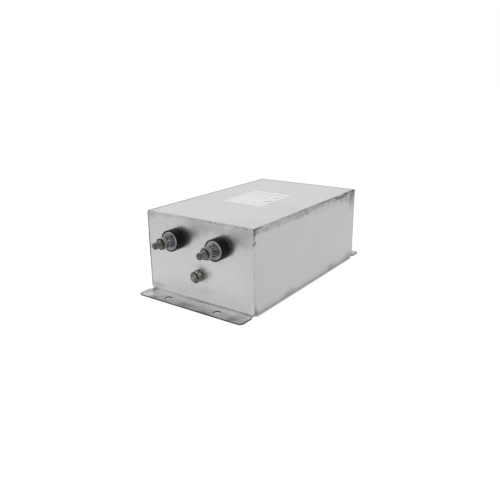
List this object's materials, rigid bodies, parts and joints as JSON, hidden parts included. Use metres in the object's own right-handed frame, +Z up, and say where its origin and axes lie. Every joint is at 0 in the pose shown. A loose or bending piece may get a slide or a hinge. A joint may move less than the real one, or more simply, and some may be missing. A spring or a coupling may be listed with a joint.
{
  "type": "emi line filter",
  "caption": "Steel-cased mains interference filter with drilled mounting feet, insulated stud terminals and an earth stud at each end.",
  "frame": {"origin": "on the mounting plane, under the middle of the box", "axes": "+Z up, away from the mounting plane; +Y along the box from the line end to the load end; +X to the right when facing the line end"},
  "size_m": [0.1546, 0.32, 0.1002],
  "materials": {
    "plated_sheet": "bright plated sheet, satin, lightly smudged",
    "weld_bead": "uneven ground weld, dull grey",
    "rating_plate": "matte white film with faint grey print",
    "black_insulator": "moulded, matte black",
    "plated_stud": "zinc plated, dull",
    "plated_disc": "nickel plated, satin",
    "plated_nut": "zinc plated, dull",
    "spring_steel": "spring steel, dull",
    "inner_bushing": "moulded, matte black",
    "inner_steel": "zinc plated",
    "copper_bar": "bare copper",
    "choke_core": "wound soft-magnetic tape",
    "choke_shell": "moulded plastic",
    "enamelled_wire": "enamelled copper",
    "choke_frame": "moulded plastic",
    "x_capacitor": "moulded capacitor case",
    "y_capacitor": "dipped capacitor case",
    "resistor": "lacquered",
    "liner": "insulating sheet",
    "resin": "cast resin"
  },
  "bodies": {
    "root": {"case_cover": "plated_sheet", "case_tray": "plated_sheet", "seam_welds": "weld_bead", "rating_plate": "rating_plate", "line_insulator_left": "black_insulator", "line_insulator_right": "black_insulator", "load_insulator_left": "black_insulator", "load_insulator_right": "black_insulator", "line_stud_left": "plated_stud", "line_stud_right": "plated_stud", "load_stud_left": "plated_stud", "load_stud_right": "plated_stud", "line_earth_stud": "plated_stud", "load_earth_stud": "plated_stud", "terminal_discs": "plated_disc", "terminal_clamp_nuts": "plated_nut", "terminal_nuts": "plated_nut", "earth_nuts": "plated_nut", "terminal_lock_washers": "spring_steel", "earth_lock_washers": "spring_steel", "inner_bushings": "inner_bushing", "inner_washers": "inner_steel", "inner_nuts": "inner_steel", "earth_inner_nuts": "inner_steel", "line_bar_left": "copper_bar", "line_bar_right": "copper_bar", "load_bar_left": "copper_bar", "load_bar_right": "copper_bar", "line_earth_link": "copper_bar", "load_earth_link": "copper_bar", "choke_core": "choke_core", "choke_core_tray": "choke_shell", "choke_core_lid": "choke_shell", "choke_winding_left": "enamelled_wire", "choke_winding_right": "enamelled_wire", "choke_divider": "choke_frame", "choke_base": "choke_frame", "x_capacitor_line": "x_capacitor", "x_capacitor_load": "x_capacitor", "y_capacitors": "y_capacitor", "discharge_resistor": "resistor", "insulating_liner": "liner", "potting_resin": "resin"}
  },
  "joints": []
}
